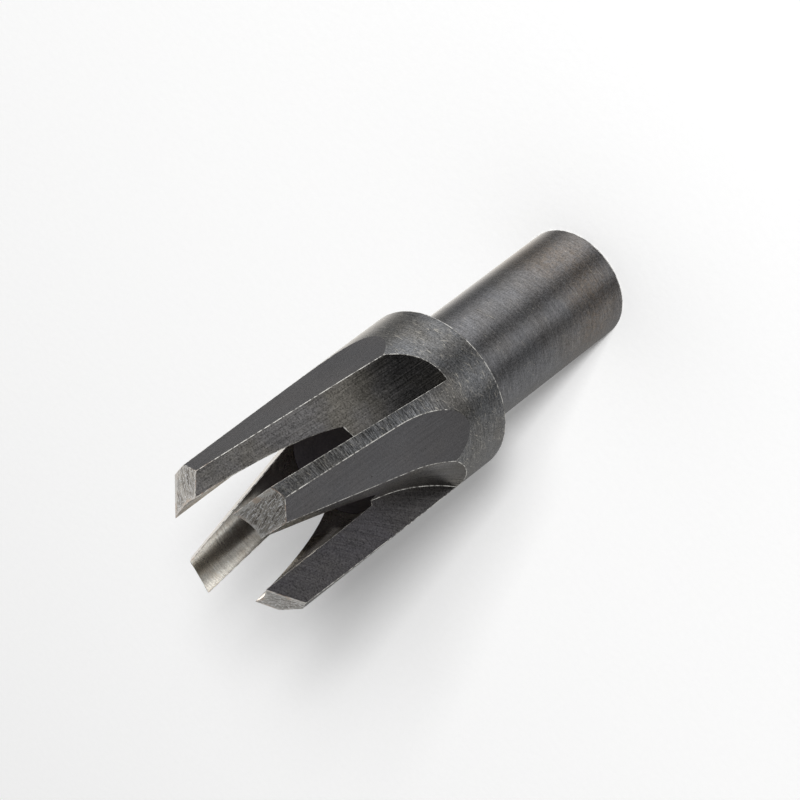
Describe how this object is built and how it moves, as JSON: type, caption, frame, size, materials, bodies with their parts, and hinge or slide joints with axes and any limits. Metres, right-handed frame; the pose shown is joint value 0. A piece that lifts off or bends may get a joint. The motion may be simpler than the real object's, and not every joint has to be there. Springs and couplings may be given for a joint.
{
  "type": "plug cutter",
  "caption": "Tapered plug cutter in blackened steel, turned and milled from one bar: plain round shank, thicker head, tapered bore, and deep flutes between slender fingers with ground tips.",
  "frame": {"origin": "middle of the shank's flat end face, on which the tool stands", "axes": "+Z along the tool's axis from the shank's end to the tips, +X through the middle of one finger"},
  "size_m": [0.0184, 0.0184, 0.0587],
  "materials": {
    "black_steel": "black oxide over turned, milled and ground tool steel, satin, with bare ground tips and bore"
  },
  "bodies": {
    "root": {"plug_cutter": "black_steel"}
  },
  "joints": []
}
